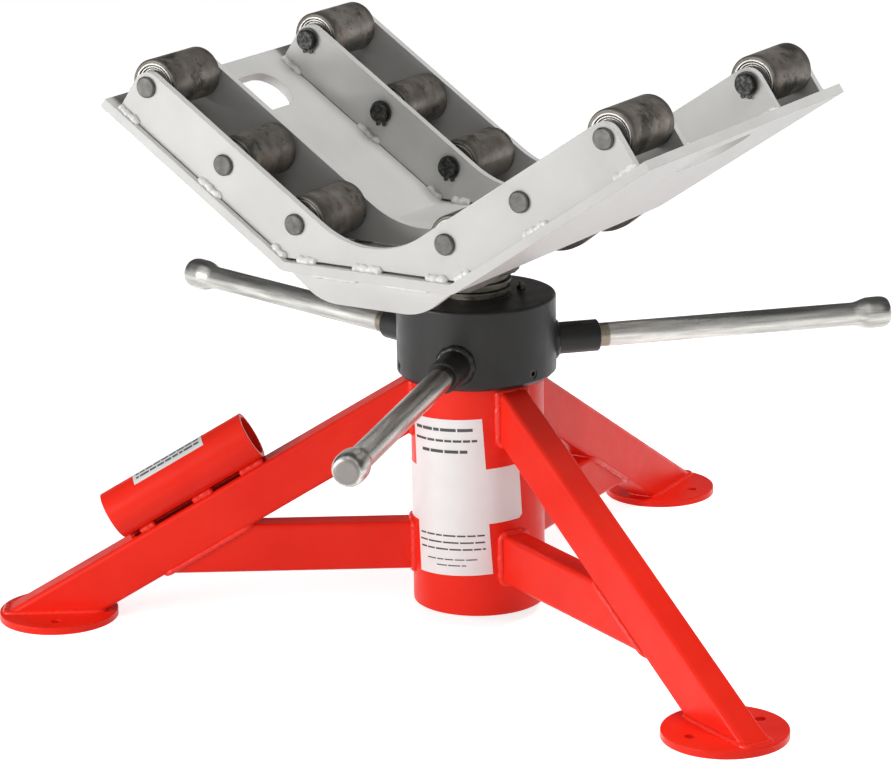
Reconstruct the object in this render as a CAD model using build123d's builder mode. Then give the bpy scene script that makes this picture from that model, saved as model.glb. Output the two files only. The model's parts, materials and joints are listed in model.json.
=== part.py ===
from build123d import *
import os
from math import cos, radians, sin, tan

# Roller-head screw-jack pipe stand. Millimetres, +Z up, floor at Z = 0, screw axis on the Z axis.
# X runs across the V of the saddle, Y runs along the pipe that lies in it.

# Base: central tube, three legs, three braces, three foot plates
TUBE_OUTER_R = 70.65
TUBE_WALL = 6.55
TUBE_BOTTOM_Z = 13.5
TUBE_TOP_Z = 298.0
GROOVE_DEPTH = 2.5
GROOVE_WIDTH = 11.0
RIGHT_LEG_AZIMUTH = -27.0
REAR_LEG_AZIMUTH = 93.0
LEFT_LEG_AZIMUTH = 213.0
LEG_SLOPE = 30.0
LEG_DROP = 37.0
LEG_DEPTH = 52.0
LEG_WIDTH = 33.0
LEG_WALL = 3.2
LEG_CORNER_R = 5.0
BRACE_BOTTOM_Z = 48.5
BRACE_HEIGHT = 53.0
BRACE_WIDTH = 30.0
FOOT_INSET = 4.4
FOOT_R = 63.5
FOOT_THICKNESS = 8.0
FOOT_EDGE_R = 1.5
FOOT_HOLE_R = 5.5
FOOT_HOLE_SPACING = 84.0

# Open socket tube that rides on the left leg, and the rail that it is welded to
SOCKET_LEG = "left"
SOCKET_OUTER_R = 26.5
SOCKET_WALL = 4.5
SOCKET_LENGTH = 173.0
SOCKET_START = 260.0
RAIL_HEIGHT = 3.5
RAIL_WIDTH = 14.0
RAIL_MARGIN = 5.0

# Inside the tube: screw bushing at the top, stop ring near the bottom
LIFT = 150.0
STOP_GAP = 1.0
STOP_RING_WIDTH = 14.1
STOP_RING_HEIGHT = 12.0
THRUST_WASHER_HEIGHT = 5.0
THRUST_WASHER_PLAY = 4.5

# Nut collar with its handles, keeper screws and grease fitting
COLLAR_WALL = 13.7
COLLAR_SKIRT = 34.5
COLLAR_HEIGHT = 85.5
COLLAR_CHAMFER = 4.5
COLLAR_TOP_EDGE_R = 3.0
HANDLE_RISE = 28.7
RIGHT_HANDLE_AZIMUTH = 45.8
LEFT_HANDLE_AZIMUTH = 165.8
FRONT_HANDLE_AZIMUTH = 285.8
HANDLE_R = 12.7
HANDLE_SEAT_DEPTH = 11.35
HANDLE_LENGTH = 389.0
HANDLE_FLARE_LENGTH = 21.0
KNOB_LENGTH = 22.0
KNOB_R = 17.0
KNOB_FACE_R = 9.0
BOSS_R = 17.0
BOSS_LENGTH = 48.65
BOSS_EDGE = 1.0
KEEPER_AZIMUTHS = (-14.0, 106.0, 226.0)
KEEPER_RISE = 12.5
KEEPER_R = 5.0
KEEPER_HEAD_INSET = 0.8
KEEPER_TIP_ENGAGEMENT = 1.6
KEEPER_HEX_R = 2.9
KEEPER_HEX_DEPTH = 5.0
GREASE_AZIMUTH = 50.0
GREASE_FROM_SCREW = 13.0
GREASE_HEX_R = 5.0
GREASE_HEX_HEIGHT = 4.0
GREASE_NIPPLE_R = 2.6
GREASE_NIPPLE_HEIGHT = 4.0
GREASE_SHANK_R = 3.0
GREASE_SHANK_LENGTH = 6.0

# Lifting screw and the guide that slides in the tube on its lower end
SCREW_R = 37.5
SCREW_BOTTOM_Z = 75.0
JOURNAL_R = 20.0
GUIDE_HEIGHT = 15.0
GUIDE_EDGE = 1.5
GUIDE_WASHER_R = 30.0
GUIDE_WASHER_HEIGHT = 5.0
GUIDE_BOLT_R = 8.0
GUIDE_BOLT_HEAD_R = 13.0
GUIDE_BOLT_HEAD_HEIGHT = 9.0
GUIDE_BOLT_REACH = 40.0

# Saddle: bent plate, keel gussets under it, socket block round the screw
SCREW_SHOWING = 25.0
SADDLE_THICKNESS = 10.0
SADDLE_FLAT_HALF = 98.3
SADDLE_HALF_WIDTH = 210.7
SADDLE_BEND_R = 8.0
WING_ANGLE = 34.0
WING_LENGTH = 263.5
HAND_HOLE_LENGTH = 112.0
HAND_HOLE_WIDTH = 53.0
HAND_HOLE_CORNER_R = 25.0
HAND_HOLE_INSET = 51.5
KEEL_THICKNESS = 8.0
KEEL_DEPTH = 29.0
KEEL_SLOPE = 38.0
KEEL_CORNER_R = 60.0
KEEL_EDGE_INSET = 1.5
BLOCK_HALF = 42.0
BLOCK_HEIGHT = 26.0
FLANGE_R = 44.0
FLANGE_HEIGHT = 7.0

# Roller channels: two V side plates each, the nearer and farther channel mirror each other in Y
CHANNEL_INSET = 7.7
CHANNEL_WIDTH = 106.5
SIDE_PLATE_THICKNESS = 8.0
SIDE_PLATE_HEIGHT = 56.5
SIDE_PLATE_INSET = 16.0
SIDE_PLATE_CORNER_R = 18.0
VALLEY_R = 106.0
SEAM_GAP = 2.5

# Rollers, their bushings and pins. A station is measured along the wing from its bend
INNER_PIN_STATION = 13.9
MIDDLE_PIN_STATION = 114.3
OUTER_PIN_INSET = 15.5
INNER_PIN_HEIGHT = 37.2
MIDDLE_PIN_HEIGHT = 32.7
OUTER_PIN_HEIGHT = 40.0
PIN_R = 11.0
PIN_HEAD_OUT = 4.0
PIN_TAIL_OUT = 9.0
PIN_EDGE = 1.2
CLIP_GROOVE_DEPTH = 1.0
CLIP_THICKNESS = 1.5
CLIP_STANDOFF = 2.0
CLIP_R = 13.0
CLIP_GAP = 3.2
CLIP_EAR_R = 2.4
ROLLER_R = 26.7
ROLLER_END_GAP = 4.75
ROLLER_EDGE_R = 2.5
ROLLER_RECESS_R = 20.5
ROLLER_RECESS_DEPTH = 3.0
BUSHING_R = 14.5

# Clearances
RUNNING_CLEARANCE = 0.08
SEAT_CLEARANCE = 0.05
SKIRT_CLEARANCE = 0.4
SIDE_CLEARANCE = 0.3

# Worked out from the sizes above
LEG_AZIMUTHS = {"right": RIGHT_LEG_AZIMUTH, "rear": REAR_LEG_AZIMUTH, "left": LEFT_LEG_AZIMUTH}
LEG_TOP_Z = TUBE_TOP_Z - LEG_DROP
SLOPE_SIN = sin(radians(LEG_SLOPE))
SLOPE_TAN = tan(radians(LEG_SLOPE))
LEG_RUN = (LEG_TOP_Z + TUBE_OUTER_R * SLOPE_TAN) / SLOPE_SIN
LEG_END_R = TUBE_OUTER_R + (LEG_TOP_Z - FOOT_THICKNESS) / SLOPE_TAN - LEG_DEPTH / 2 / SLOPE_SIN
FOOT_CENTRE_R = LEG_END_R - FOOT_INSET
TUBE_BORE_R = TUBE_OUTER_R - TUBE_WALL
STOP_RING_BORE_R = TUBE_BORE_R - STOP_RING_WIDTH
THRUST_WASHER_BORE_R = SCREW_R + THRUST_WASHER_PLAY
GROOVE_R = TUBE_OUTER_R - GROOVE_DEPTH
WEB_BOTTOM_Z = TUBE_TOP_Z + THRUST_WASHER_HEIGHT
COLLAR_BOTTOM_Z = TUBE_TOP_Z - COLLAR_SKIRT
COLLAR_TOP_Z = COLLAR_BOTTOM_Z + COLLAR_HEIGHT
HANDLE_Z = COLLAR_BOTTOM_Z + HANDLE_RISE
HANDLE_AZIMUTHS = {"right": RIGHT_HANDLE_AZIMUTH, "left": LEFT_HANDLE_AZIMUTH,
                   "front": FRONT_HANDLE_AZIMUTH}
COLLAR_R = TUBE_OUTER_R + COLLAR_WALL
HANDLE_ROOT_R = COLLAR_R - HANDLE_SEAT_DEPTH
HANDLE_END_R = HANDLE_ROOT_R + HANDLE_LENGTH
BOSS_END_R = COLLAR_R + BOSS_LENGTH
GREASE_CENTRE_R = SCREW_R + GREASE_FROM_SCREW
HANDLE_KNOB_START_R = HANDLE_END_R - KNOB_LENGTH
HANDLE_FLARE_START_R = HANDLE_KNOB_START_R - HANDLE_FLARE_LENGTH
KEEPER_Z = COLLAR_BOTTOM_Z + KEEPER_RISE
SKIRT_BORE_R = TUBE_OUTER_R + SKIRT_CLEARANCE
NUT_BORE_R = SCREW_R + RUNNING_CLEARANCE
GUIDE_TOP_Z = SCREW_BOTTOM_Z - SIDE_CLEARANCE
GUIDE_BOTTOM_Z = GUIDE_TOP_Z - GUIDE_HEIGHT
JOURNAL_BOTTOM_Z = GUIDE_BOTTOM_Z - SIDE_CLEARANCE
STOP_RING_TOP_Z = GUIDE_BOTTOM_Z - STOP_GAP
BUSHING_BOTTOM_Z = GUIDE_TOP_Z + LIFT + STOP_GAP
FLANGE_BOTTOM_Z = COLLAR_TOP_Z + SCREW_SHOWING
BLOCK_BOTTOM_Z = FLANGE_BOTTOM_Z + FLANGE_HEIGHT
SADDLE_BOTTOM_Z = BLOCK_BOTTOM_Z + BLOCK_HEIGHT
SADDLE_Z = SADDLE_BOTTOM_Z + SADDLE_THICKNESS
WING_COS = cos(radians(WING_ANGLE))
WING_SIN = sin(radians(WING_ANGLE))
SIDE_PLATE_END = WING_LENGTH - SIDE_PLATE_INSET
PIN_PLACES = {"inner": (INNER_PIN_STATION, INNER_PIN_HEIGHT),
              "middle": (MIDDLE_PIN_STATION, MIDDLE_PIN_HEIGHT),
              "outer": (SIDE_PLATE_END - OUTER_PIN_INSET, OUTER_PIN_HEIGHT)}
CHANNEL_OUTER_Y = SADDLE_HALF_WIDTH - CHANNEL_INSET
CHANNEL_INNER_Y = CHANNEL_OUTER_Y - CHANNEL_WIDTH
CHANNEL_MID_Y = (CHANNEL_OUTER_Y + CHANNEL_INNER_Y) / 2
OUTER_PLATE_Y = CHANNEL_OUTER_Y - SIDE_PLATE_THICKNESS / 2
INNER_PLATE_Y = CHANNEL_INNER_Y + SIDE_PLATE_THICKNESS / 2
CHANNEL_GAP = CHANNEL_WIDTH - 2 * SIDE_PLATE_THICKNESS
ROLLER_LENGTH = CHANNEL_GAP - 2 * ROLLER_END_GAP
SIDES = {"left": -1, "right": 1}
CHANNELS = {"front": -1, "rear": 1}


def wing_point(station, height):
    """Place on the right wing's section: station along it from the bend, height square to it."""
    x = SADDLE_FLAT_HALF + station * WING_COS - height * WING_SIN
    z = SADDLE_Z + station * WING_SIN + height * WING_COS
    return x, z


def radial(azimuth):
    """Unit vector that points outward from the screw axis."""
    return Vector(cos(radians(azimuth)), sin(radians(azimuth)), 0)


def sideways(azimuth):
    """Unit vector square to the radial one, in the floor plane."""
    return Vector(-sin(radians(azimuth)), cos(radians(azimuth)), 0)


def radial_plane(azimuth, distance, height):
    """Plane that faces outward at a distance from the screw axis."""
    origin = radial(azimuth) * distance + Vector(0, 0, height)
    return Plane(origin=origin, x_dir=sideways(azimuth), z_dir=radial(azimuth))


def leg_plane(azimuth, along, above):
    """Plane square to a leg: along its slope from the axis, above its top face."""
    outward = radial(azimuth)
    down_slope = outward * cos(radians(LEG_SLOPE)) - Vector(0, 0, SLOPE_SIN)
    up_slope = outward * SLOPE_SIN + Vector(0, 0, cos(radians(LEG_SLOPE)))
    top_at_axis = Vector(0, 0, LEG_TOP_Z + TUBE_OUTER_R * SLOPE_TAN)
    origin = top_at_axis + down_slope * along + up_slope * above
    return Plane(origin=origin, x_dir=sideways(azimuth), z_dir=down_slope)


def write(builder, label):
    """Label a finished piece and write it to its own file."""
    builder.part.label = label
    export_step(builder.part, f"parts/{label}.step")


os.makedirs("parts", exist_ok=True)

# Central tube, with the groove that the keeper screws run in
with BuildPart() as base_tube:
    with BuildSketch(Plane.XY.offset(TUBE_BOTTOM_Z)):
        Circle(TUBE_OUTER_R)
        Circle(TUBE_BORE_R, mode=Mode.SUBTRACT)
    extrude(amount=TUBE_TOP_Z - TUBE_BOTTOM_Z)
    with BuildSketch(Plane.XY.offset(KEEPER_Z - GROOVE_WIDTH / 2)):
        Circle(TUBE_OUTER_R + SKIRT_CLEARANCE)
        Circle(GROOVE_R, mode=Mode.SUBTRACT)
    extrude(amount=GROOVE_WIDTH, mode=Mode.SUBTRACT)
write(base_tube, "base_tube")

# Legs: sloping rectangular tubes, coped to the central tube and cut flat on the foot plates
for place, azimuth in LEG_AZIMUTHS.items():
    with BuildPart() as leg:
        with BuildSketch(leg_plane(azimuth, 0, -LEG_DEPTH / 2)):
            RectangleRounded(LEG_WIDTH, LEG_DEPTH, LEG_CORNER_R)
            RectangleRounded(LEG_WIDTH - 2 * LEG_WALL, LEG_DEPTH - 2 * LEG_WALL,
                             LEG_CORNER_R - LEG_WALL, mode=Mode.SUBTRACT)
        extrude(amount=LEG_RUN)
        split(bisect_by=Plane.XY.offset(FOOT_THICKNESS), keep=Keep.TOP)
        Cylinder(TUBE_OUTER_R, 2 * LEG_RUN, mode=Mode.SUBTRACT)
    write(leg, f"leg_{place}")

    # Brace: level rectangular tube, mitred to the underside of its leg
    with BuildPart() as brace:
        with BuildSketch(radial_plane(azimuth, 0, BRACE_BOTTOM_Z + BRACE_HEIGHT / 2)):
            RectangleRounded(BRACE_WIDTH, BRACE_HEIGHT, LEG_CORNER_R)
            RectangleRounded(BRACE_WIDTH - 2 * LEG_WALL, BRACE_HEIGHT - 2 * LEG_WALL,
                             LEG_CORNER_R - LEG_WALL, mode=Mode.SUBTRACT)
        extrude(amount=LEG_RUN)
        under_leg = leg_plane(azimuth, 0, -LEG_DEPTH)
        split(bisect_by=Plane(origin=under_leg.origin, z_dir=under_leg.y_dir), keep=Keep.BOTTOM)
        Cylinder(TUBE_OUTER_R, 2 * LEG_RUN, mode=Mode.SUBTRACT)
    write(brace, f"brace_{place}")

    # Foot plate: round, with a bolt hole on either side of the leg
    with BuildPart() as foot:
        foot_centre = radial(azimuth) * FOOT_CENTRE_R
        with BuildSketch(Plane(origin=foot_centre, x_dir=sideways(azimuth), z_dir=(0, 0, 1))):
            Circle(FOOT_R)
            with GridLocations(FOOT_HOLE_SPACING, 0, 2, 1):
                Circle(FOOT_HOLE_R, mode=Mode.SUBTRACT)
        extrude(amount=FOOT_THICKNESS)
        fillet(foot.edges().group_by(Axis.Z)[-1].sort_by(SortBy.LENGTH)[-1], FOOT_EDGE_R)
    write(foot, f"foot_{place}")

# Open socket tube and its rail, both in line with the left leg
socket_azimuth = LEG_AZIMUTHS[SOCKET_LEG]
with BuildPart() as socket_tube:
    with BuildSketch(leg_plane(socket_azimuth, SOCKET_START, RAIL_HEIGHT + SOCKET_OUTER_R)):
        Circle(SOCKET_OUTER_R)
        Circle(SOCKET_OUTER_R - SOCKET_WALL, mode=Mode.SUBTRACT)
    extrude(amount=SOCKET_LENGTH)
write(socket_tube, "socket_tube")

with BuildPart() as socket_rail:
    with BuildSketch(leg_plane(socket_azimuth, SOCKET_START + RAIL_MARGIN, RAIL_HEIGHT / 2)):
        Rectangle(RAIL_WIDTH, RAIL_HEIGHT)
    extrude(amount=SOCKET_LENGTH - 2 * RAIL_MARGIN)
write(socket_rail, "socket_rail")

# Bushing that steadies the screw, pressed into the top of the tube
with BuildPart() as screw_bushing:
    with BuildSketch(Plane.XY.offset(BUSHING_BOTTOM_Z)):
        Circle(TUBE_BORE_R - SEAT_CLEARANCE)
        Circle(NUT_BORE_R, mode=Mode.SUBTRACT)
    extrude(amount=TUBE_TOP_Z - BUSHING_BOTTOM_Z)
write(screw_bushing, "screw_bushing")

# Stop ring that carries the guide when the screw is all the way down
with BuildPart() as stop_ring:
    with BuildSketch(Plane.XY.offset(STOP_RING_TOP_Z - STOP_RING_HEIGHT)):
        Circle(TUBE_BORE_R - SEAT_CLEARANCE)
        Circle(STOP_RING_BORE_R, mode=Mode.SUBTRACT)
    extrude(amount=STOP_RING_HEIGHT)
write(stop_ring, "stop_ring")

# Thrust washer between the tube's top and the nut
with BuildPart() as thrust_washer:
    with BuildSketch(Plane.XY.offset(TUBE_TOP_Z)):
        Circle(TUBE_OUTER_R)
        Circle(THRUST_WASHER_BORE_R, mode=Mode.SUBTRACT)
    extrude(amount=THRUST_WASHER_HEIGHT)
write(thrust_washer, "thrust_washer")

# Nut collar: a skirt over the tube and a thick web that holds the nut thread
with BuildPart() as nut_collar:
    with BuildSketch(Plane.XY.offset(COLLAR_BOTTOM_Z)):
        Circle(COLLAR_R)
    extrude(amount=COLLAR_TOP_Z - COLLAR_BOTTOM_Z)
    chamfer(nut_collar.edges().group_by(Axis.Z)[0], COLLAR_CHAMFER)
    fillet(nut_collar.edges().group_by(Axis.Z)[-1], COLLAR_TOP_EDGE_R)
    with BuildSketch(Plane.XY.offset(COLLAR_BOTTOM_Z)):
        Circle(SKIRT_BORE_R)
    extrude(amount=WEB_BOTTOM_Z - COLLAR_BOTTOM_Z, mode=Mode.SUBTRACT)
    with BuildSketch(Plane.XY.offset(WEB_BOTTOM_Z)):
        Circle(NUT_BORE_R)
    extrude(amount=COLLAR_TOP_Z - WEB_BOTTOM_Z, mode=Mode.SUBTRACT)
    for azimuth in HANDLE_AZIMUTHS.values():
        with BuildSketch(radial_plane(azimuth, HANDLE_ROOT_R - SEAT_CLEARANCE, HANDLE_Z)):
            Circle(HANDLE_R + SEAT_CLEARANCE)
        extrude(amount=COLLAR_R, mode=Mode.SUBTRACT)
    for azimuth in KEEPER_AZIMUTHS:
        with BuildSketch(radial_plane(azimuth, GROOVE_R, KEEPER_Z)):
            Circle(KEEPER_R + SEAT_CLEARANCE)
        extrude(amount=COLLAR_R, mode=Mode.SUBTRACT)
    grease_centre = radial(GREASE_AZIMUTH) * GREASE_CENTRE_R + Vector(0, 0, COLLAR_TOP_Z)
    with BuildSketch(Plane(origin=grease_centre, z_dir=(0, 0, -1))):
        Circle(GREASE_SHANK_R + SEAT_CLEARANCE)
    extrude(amount=GREASE_SHANK_LENGTH + SEAT_CLEARANCE, mode=Mode.SUBTRACT)
write(nut_collar, "nut_collar")

# Bosses on the collar, one round the root of each handle
with BuildPart() as handle_bosses:
    for azimuth in HANDLE_AZIMUTHS.values():
        with BuildSketch(radial_plane(azimuth, HANDLE_ROOT_R, HANDLE_Z)):
            Circle(BOSS_R)
        extrude(amount=BOSS_END_R - HANDLE_ROOT_R)
        outward = radial(azimuth)
        end_face = handle_bosses.faces().sort_by(lambda face: outward.dot(face.center()))[-1]
        chamfer(end_face.edges(), BOSS_EDGE)
        with BuildSketch(radial_plane(azimuth, HANDLE_ROOT_R, HANDLE_Z)):
            Circle(HANDLE_R + SEAT_CLEARANCE)
        extrude(amount=BOSS_END_R, mode=Mode.SUBTRACT)
    Cylinder(COLLAR_R, 2 * COLLAR_TOP_Z, mode=Mode.SUBTRACT)
write(handle_bosses, "handle_bosses")

# Bar handles with flared, domed ends
for place, azimuth in HANDLE_AZIMUTHS.items():
    handle_plane = Plane(origin=(0, 0, HANDLE_Z), x_dir=radial(azimuth), z_dir=sideways(azimuth))
    with BuildPart() as handle:
        with BuildSketch(handle_plane):
            with BuildLine():
                Polyline((HANDLE_END_R, 0), (HANDLE_ROOT_R, 0), (HANDLE_ROOT_R, HANDLE_R),
                         (HANDLE_FLARE_START_R, HANDLE_R))
                Spline((HANDLE_FLARE_START_R, HANDLE_R), (HANDLE_KNOB_START_R, KNOB_R),
                       tangents=((1, 0), (1, 0)))
                Spline((HANDLE_KNOB_START_R, KNOB_R), (HANDLE_END_R, KNOB_FACE_R),
                       tangents=((1, 0), (0, -1)))
                Line((HANDLE_END_R, KNOB_FACE_R), (HANDLE_END_R, 0))
            make_face()
        revolve(axis=Axis((0, 0, HANDLE_Z), radial(azimuth)))
    write(handle, f"handle_{place}")

# Keeper screws: hollow hexagon set screws whose tips run in the tube's groove
with BuildPart() as keeper_screws:
    keeper_tip_r = TUBE_OUTER_R - KEEPER_TIP_ENGAGEMENT
    keeper_head_r = COLLAR_R - KEEPER_HEAD_INSET
    for azimuth in KEEPER_AZIMUTHS:
        with BuildSketch(radial_plane(azimuth, keeper_tip_r, KEEPER_Z)):
            Circle(KEEPER_R)
        extrude(amount=keeper_head_r - keeper_tip_r)
        with BuildSketch(radial_plane(azimuth, keeper_head_r - KEEPER_HEX_DEPTH, KEEPER_Z)):
            RegularPolygon(KEEPER_HEX_R, 6)
        extrude(amount=KEEPER_HEX_DEPTH, mode=Mode.SUBTRACT)
write(keeper_screws, "keeper_screws")

# Grease fitting in the web of the collar
with BuildPart() as grease_fitting:
    with BuildSketch(Plane(origin=grease_centre, z_dir=(0, 0, -1))):
        Circle(GREASE_SHANK_R)
    extrude(amount=GREASE_SHANK_LENGTH)
    with BuildSketch(Plane(origin=grease_centre)):
        RegularPolygon(GREASE_HEX_R, 6)
    extrude(amount=GREASE_HEX_HEIGHT)
    with BuildSketch(Plane(origin=grease_centre + Vector(0, 0, GREASE_HEX_HEIGHT))):
        Circle(GREASE_NIPPLE_R)
    extrude(amount=GREASE_NIPPLE_HEIGHT)
    fillet(grease_fitting.edges().group_by(Axis.Z)[-1], GREASE_NIPPLE_R / 2)
write(grease_fitting, "grease_fitting")

# Lifting screw: the thread's outer cylinder, with a journal for the guide at the lower end
with BuildPart() as lift_screw:
    with BuildSketch(Plane.XY.offset(SCREW_BOTTOM_Z)):
        Circle(SCREW_R)
    extrude(amount=SADDLE_BOTTOM_Z - SCREW_BOTTOM_Z)
    with BuildSketch(Plane.XY.offset(JOURNAL_BOTTOM_Z)):
        Circle(JOURNAL_R)
    extrude(amount=SCREW_BOTTOM_Z - JOURNAL_BOTTOM_Z)
    with BuildSketch(Plane.XY.offset(JOURNAL_BOTTOM_Z)):
        Circle(GUIDE_BOLT_R + SEAT_CLEARANCE)
    extrude(amount=GUIDE_BOLT_REACH + SEAT_CLEARANCE, mode=Mode.SUBTRACT)
write(lift_screw, "lift_screw")

# Guide disc: slides in the tube, and the screw can turn in it
with BuildPart() as guide_disc:
    with BuildSketch(Plane.XY.offset(GUIDE_BOTTOM_Z)):
        Circle(TUBE_BORE_R - SKIRT_CLEARANCE)
        Circle(JOURNAL_R + RUNNING_CLEARANCE, mode=Mode.SUBTRACT)
    extrude(amount=GUIDE_HEIGHT)
    chamfer(guide_disc.edges().filter_by(GeomType.CIRCLE).group_by(SortBy.RADIUS)[-1], GUIDE_EDGE)
write(guide_disc, "guide_disc")

with BuildPart() as guide_washer:
    with BuildSketch(Plane.XY.offset(JOURNAL_BOTTOM_Z - GUIDE_WASHER_HEIGHT)):
        Circle(GUIDE_WASHER_R)
        Circle(GUIDE_BOLT_R + SEAT_CLEARANCE, mode=Mode.SUBTRACT)
    extrude(amount=GUIDE_WASHER_HEIGHT)
write(guide_washer, "guide_washer")

with BuildPart() as guide_bolt:
    bolt_seat_z = JOURNAL_BOTTOM_Z - GUIDE_WASHER_HEIGHT
    with BuildSketch(Plane.XY.offset(bolt_seat_z)):
        Circle(GUIDE_BOLT_R)
    extrude(amount=GUIDE_WASHER_HEIGHT + GUIDE_BOLT_REACH)
    with BuildSketch(Plane.XY.offset(bolt_seat_z)):
        RegularPolygon(GUIDE_BOLT_HEAD_R, 6)
    extrude(amount=-GUIDE_BOLT_HEAD_HEIGHT)
write(guide_bolt, "guide_bolt")

# Saddle plate: flat in the middle, a wing up on either side, a hand hole in each wing
outer_bend_x = SADDLE_FLAT_HALF + SADDLE_THICKNESS * tan(radians(WING_ANGLE / 2))
with BuildPart() as saddle_plate:
    with BuildSketch(Plane.XZ) as saddle_section:
        with BuildLine():
            Polyline((0, SADDLE_Z), (SADDLE_FLAT_HALF, SADDLE_Z), wing_point(WING_LENGTH, 0),
                     wing_point(WING_LENGTH, -SADDLE_THICKNESS), (outer_bend_x, SADDLE_BOTTOM_Z),
                     (0, SADDLE_BOTTOM_Z), close=True)
        make_face()
        mirror(about=Plane.YZ)
        for bend_x, bend_z, bend_r in ((SADDLE_FLAT_HALF, SADDLE_Z, SADDLE_BEND_R),
                                       (outer_bend_x, SADDLE_BOTTOM_Z, SADDLE_BEND_R + SADDLE_THICKNESS)):
            fillet(saddle_section.vertices().filter_by(
                lambda v: abs(abs(v.X) - bend_x) < SEAT_CLEARANCE and abs(v.Y - bend_z) < SEAT_CLEARANCE
            ), bend_r)
    extrude(amount=SADDLE_HALF_WIDTH, both=True)
    for side in SIDES.values():
        hole_x, hole_z = wing_point(WING_LENGTH - HAND_HOLE_INSET, 0)
        wing_normal = (-side * WING_SIN, 0, WING_COS)
        with BuildSketch(Plane(origin=(side * hole_x, 0, hole_z), x_dir=(0, 1, 0), z_dir=wing_normal)):
            RectangleRounded(HAND_HOLE_LENGTH, HAND_HOLE_WIDTH, HAND_HOLE_CORNER_R)
        extrude(amount=SADDLE_THICKNESS, both=True, mode=Mode.SUBTRACT)
write(saddle_plate, "saddle_plate")

# Side plates of the roller channels: V plates that stand on the saddle, with holes for the pins
valley_centre_z = (SADDLE_Z - SADDLE_FLAT_HALF * tan(radians(WING_ANGLE))
                   + (SIDE_PLATE_HEIGHT + VALLEY_R) / WING_COS)
valley_x = VALLEY_R * WING_SIN
valley_z = valley_centre_z - VALLEY_R * WING_COS
seam_x = SADDLE_FLAT_HALF + SEAM_GAP / tan(radians(WING_ANGLE))
side_plates = {"outer": OUTER_PLATE_Y, "inner": INNER_PLATE_Y}
for channel, channel_side in CHANNELS.items():
    for position, plate_y in side_plates.items():
        with BuildPart() as side_plate:
            with BuildSketch(Plane.XZ.offset(-channel_side * plate_y)) as side_section:
                with BuildLine():
                    foot_x, foot_z = wing_point(SIDE_PLATE_END, 0)
                    corner_x, corner_z = wing_point(SIDE_PLATE_END, SIDE_PLATE_HEIGHT)
                    Polyline((-valley_x, valley_z), (-corner_x, corner_z), (-foot_x, foot_z),
                             (-seam_x, SADDLE_Z + SEAM_GAP), (seam_x, SADDLE_Z + SEAM_GAP),
                             (foot_x, foot_z), (corner_x, corner_z), (valley_x, valley_z))
                    ThreePointArc((valley_x, valley_z), (0, valley_centre_z - VALLEY_R),
                                  (-valley_x, valley_z))
                make_face()
                fillet(side_section.vertices().group_by(Axis.Y)[-1], SIDE_PLATE_CORNER_R)
                for station, height in PIN_PLACES.values():
                    pin_x, pin_z = wing_point(station, height)
                    with Locations((pin_x, pin_z), (-pin_x, pin_z)):
                        Circle(PIN_R + SEAT_CLEARANCE, mode=Mode.SUBTRACT)
            extrude(amount=SIDE_PLATE_THICKNESS / 2, both=True)
        write(side_plate, f"side_plate_{channel}_{position}")

# Keel gussets: they stiffen the flat of the saddle from below, one under each side plate
keel_bottom_z = SADDLE_BOTTOM_Z - KEEL_DEPTH
keel_top_x = SADDLE_FLAT_HALF - KEEL_EDGE_INSET
keel_bottom_x = keel_top_x - KEEL_DEPTH / tan(radians(KEEL_SLOPE))
for position, plate_y in side_plates.items():
    with BuildPart() as keel_gussets:
        for channel_side in CHANNELS.values():
            with BuildSketch(Plane.XZ.offset(-channel_side * plate_y)) as keel_section:
                with BuildLine():
                    Polyline((-keel_top_x, SADDLE_BOTTOM_Z), (-keel_bottom_x, keel_bottom_z),
                             (keel_bottom_x, keel_bottom_z), (keel_top_x, SADDLE_BOTTOM_Z), close=True)
                make_face()
                fillet(keel_section.vertices().group_by(Axis.Y)[0], KEEL_CORNER_R)
            extrude(amount=KEEL_THICKNESS / 2, both=True)
    write(keel_gussets, f"keel_gussets_{position}")

# Socket block under the saddle, and the flange ring that closes it round the screw
with BuildPart() as socket_block:
    with BuildSketch(Plane.XY.offset(BLOCK_BOTTOM_Z)):
        Rectangle(2 * BLOCK_HALF, 2 * BLOCK_HALF)
        Circle(SCREW_R + SEAT_CLEARANCE, mode=Mode.SUBTRACT)
    extrude(amount=BLOCK_HEIGHT)
write(socket_block, "socket_block")

with BuildPart() as screw_flange:
    with BuildSketch(Plane.XY.offset(FLANGE_BOTTOM_Z)):
        Circle(FLANGE_R)
        Circle(SCREW_R + SEAT_CLEARANCE, mode=Mode.SUBTRACT)
    extrude(amount=FLANGE_HEIGHT)
    lower_rims = screw_flange.edges().group_by(Axis.Z)[0].filter_by(GeomType.CIRCLE)
    chamfer(lower_rims.sort_by(SortBy.RADIUS)[-1], FLANGE_HEIGHT / 2)
write(screw_flange, "screw_flange")

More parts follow.
